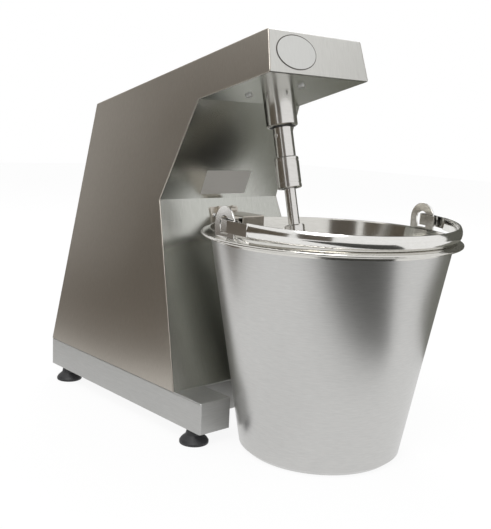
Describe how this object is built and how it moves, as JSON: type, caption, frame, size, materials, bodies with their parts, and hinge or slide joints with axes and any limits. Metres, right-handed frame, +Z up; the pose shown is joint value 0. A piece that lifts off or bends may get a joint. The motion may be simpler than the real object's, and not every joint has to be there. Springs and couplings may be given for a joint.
{
  "type": "butter churn",
  "caption": "Bench butter churn: sheet-steel stand with a belt-driven leaning spindle and agitator in a loose tapered pail with a bail handle.",
  "frame": {"origin": "on the ground, in the middle of the footprint of machine and pail together", "axes": "+Z up, -Y to the front where the pail stands, +X to the right seen from the front"},
  "size_m": [0.3315, 0.6308, 0.5312],
  "materials": {
    "base_sheet": "fine satin stainless",
    "cover_sheet": "brushed stainless",
    "rubber": "matt black",
    "zinc_steel": "plain",
    "plate_steel": "as rolled",
    "turned_steel": "turned and polished",
    "bearing_steel": "ground",
    "cast_aluminium": "as cast and turned",
    "pail_steel": "polished rim, satin wall",
    "core_steel": "laminated",
    "copper_wire": "varnished winding",
    "black_plastic": "moulded",
    "painted_sheet": "dark grey",
    "contact_brass": "plain"
  },
  "bodies": {
    "machine": {"base_floor": "base_sheet", "base_shell": "base_sheet", "bearing_outer_races": "bearing_steel", "clip_hinge": "cover_sheet", "clip_pin": "turned_steel", "clip_screws": "zinc_steel", "drive_belt": "rubber", "drive_plate": "plate_steel", "fan_cowl": "painted_sheet", "foot_nuts": "zinc_steel", "foot_studs": "zinc_steel", "front_wrap": "cover_sheet", "head_cover": "cover_sheet", "housing_screws": "zinc_steel", "inlet_contacts": "contact_brass", "inlet_screws": "zinc_steel", "left_side_panel": "cover_sheet", "mains_inlet": "black_plastic", "motor_bearings": "bearing_steel", "motor_bolts": "zinc_steel", "motor_front_shield": "cast_aluminium", "motor_rear_shield": "cast_aluminium", "motor_shell": "cast_aluminium", "plate_brackets": "plate_steel", "rear_cover": "cover_sheet", "rear_cover_screws": "zinc_steel", "right_side_panel": "cover_sheet", "rubber_feet": "rubber", "spindle_housing": "turned_steel", "spindle_seal": "rubber", "stator_core": "core_steel", "stator_windings": "copper_wire", "switch_body": "black_plastic", "switch_plate": "black_plastic"},
    "spindle": {"spindle_shaft": "turned_steel", "spindle_pulley": "cast_aluminium", "pulley_spacer": "turned_steel", "pulley_nut": "zinc_steel", "bearing_inner_races": "bearing_steel", "bearing_balls": "bearing_steel", "drive_socket": "turned_steel", "socket_pin": "turned_steel", "snap_ring": "bearing_steel", "lock_balls": "bearing_steel", "lock_spring": "bearing_steel", "mixing_shaft": "turned_steel", "cross_pin": "turned_steel", "agitator_hub": "turned_steel", "hub_set_screw": "turned_steel", "agitator_blades": "pail_steel"},
    "rotor": {"rotor_core": "core_steel", "motor_shaft": "turned_steel", "cooling_fan": "black_plastic", "motor_pulley": "cast_aluminium"},
    "sleeve": {"lock_sleeve": "turned_steel"},
    "pail": {"pail_body": "pail_steel", "pail_ears": "pail_steel"},
    "bail": {"pail_bail": "pail_steel"},
    "clip": {"pail_clip": "cover_sheet"},
    "switch": {"switch_knob": "black_plastic"}
  },
  "joints": [
    {"name": "spindle_spin", "type": "hinge", "parent": "machine", "child": "spindle", "pos_m": [0, -0.03934, 0.45949], "axis": [0, 0.247, 0.969], "continuous": true},
    {"name": "motor_spin", "type": "hinge", "parent": "machine", "child": "rotor", "pos_m": [0, 0.17868, 0.40392], "axis": [0, 0.247, 0.969], "continuous": true},
    {"name": "sleeve_lift", "type": "slide", "parent": "spindle", "child": "sleeve", "axis": [0, 0.247, 0.969], "range_m": [0, 0.007], "stiffness_N_per_m": 600, "springref_m": -0.012, "deforming": ["lock_spring"]},
    {"name": "pail_slide", "type": "slide", "parent": "machine", "child": "pail", "axis": [0, 1, 0], "range_m": [0, 0.003]},
    {"name": "bail_swing", "type": "hinge", "parent": "pail", "child": "bail", "pos_m": [0, -0.1496, 0.2993], "axis": [-0.9848, 0.1736, 0], "range_deg": [0, 108]},
    {"name": "clip_swing", "type": "hinge", "parent": "machine", "child": "clip", "pos_m": [0, 0.05617, 0.2917], "axis": [-1, 0, 0], "range_deg": [0, 65]},
    {"name": "switch_turn", "type": "hinge", "parent": "machine", "child": "switch", "pos_m": [0.12923, 0.1164, 0.1653], "axis": [0.9925, 0, 0.1219], "range_deg": [0, 90]}
  ],
  "couplings": [
    {"joint": "motor_spin", "follows": "spindle_spin", "ratio": 2.8333}
  ]
}
